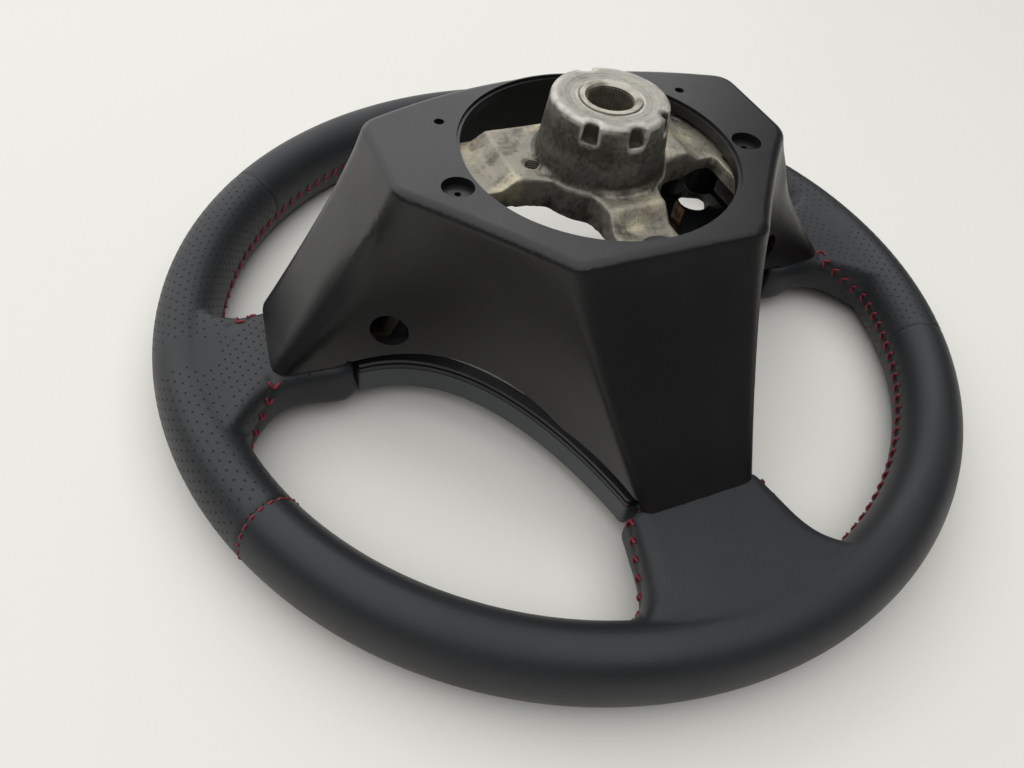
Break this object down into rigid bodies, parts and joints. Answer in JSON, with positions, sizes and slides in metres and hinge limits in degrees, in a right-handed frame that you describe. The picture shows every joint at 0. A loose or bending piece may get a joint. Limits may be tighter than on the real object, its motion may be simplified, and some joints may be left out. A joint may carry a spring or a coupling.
{
  "type": "car steering wheel",
  "caption": "Three-spoke leather-wrapped car steering wheel seen from its back, with a moulded rear cover, a die-cast hub with a column bore, and no pad module.",
  "frame": {"origin": "steering axis at the plane that the rim's front face touches", "axes": "+Z along the steering axis towards the column, +Y to twelve o'clock"},
  "size_m": [0.37, 0.37, 0.1297],
  "materials": {
    "cast_alloy": "as cast, dull and stained",
    "bush_steel": "turned",
    "core_steel": "drawn bar",
    "screw_steel": "zinc plated",
    "rim_foam": "moulded foam",
    "cover_plastic": "soft-touch fine grain",
    "garnish_plastic": "satin",
    "frame_plastic": "satin",
    "carrier_plastic": "moulded",
    "contact_copper": "dulled copper",
    "bush_plastic": "moulded",
    "perforated_leather": "perforated, fine grain",
    "plain_leather": "smooth, fine grain"
  },
  "bodies": {
    "root": {"armature": "cast_alloy", "rim_core": "core_steel", "splined_bush": "bush_steel", "rim_foam": "rim_foam", "back_cover": "cover_plastic", "bezel_garnish": "garnish_plastic", "bezel_frame": "frame_plastic", "bezel_screws": "screw_steel", "contact_carrier": "carrier_plastic", "contact_blade": "contact_copper", "contact_screw": "screw_steel", "guide_bush_left": "bush_plastic", "guide_bush_right": "bush_plastic", "guide_bush_lower": "bush_plastic", "leather_left_grip": "perforated_leather", "leather_right_grip": "perforated_leather", "leather_bottom": "plain_leather", "leather_top": "plain_leather"}
  },
  "joints": []
}
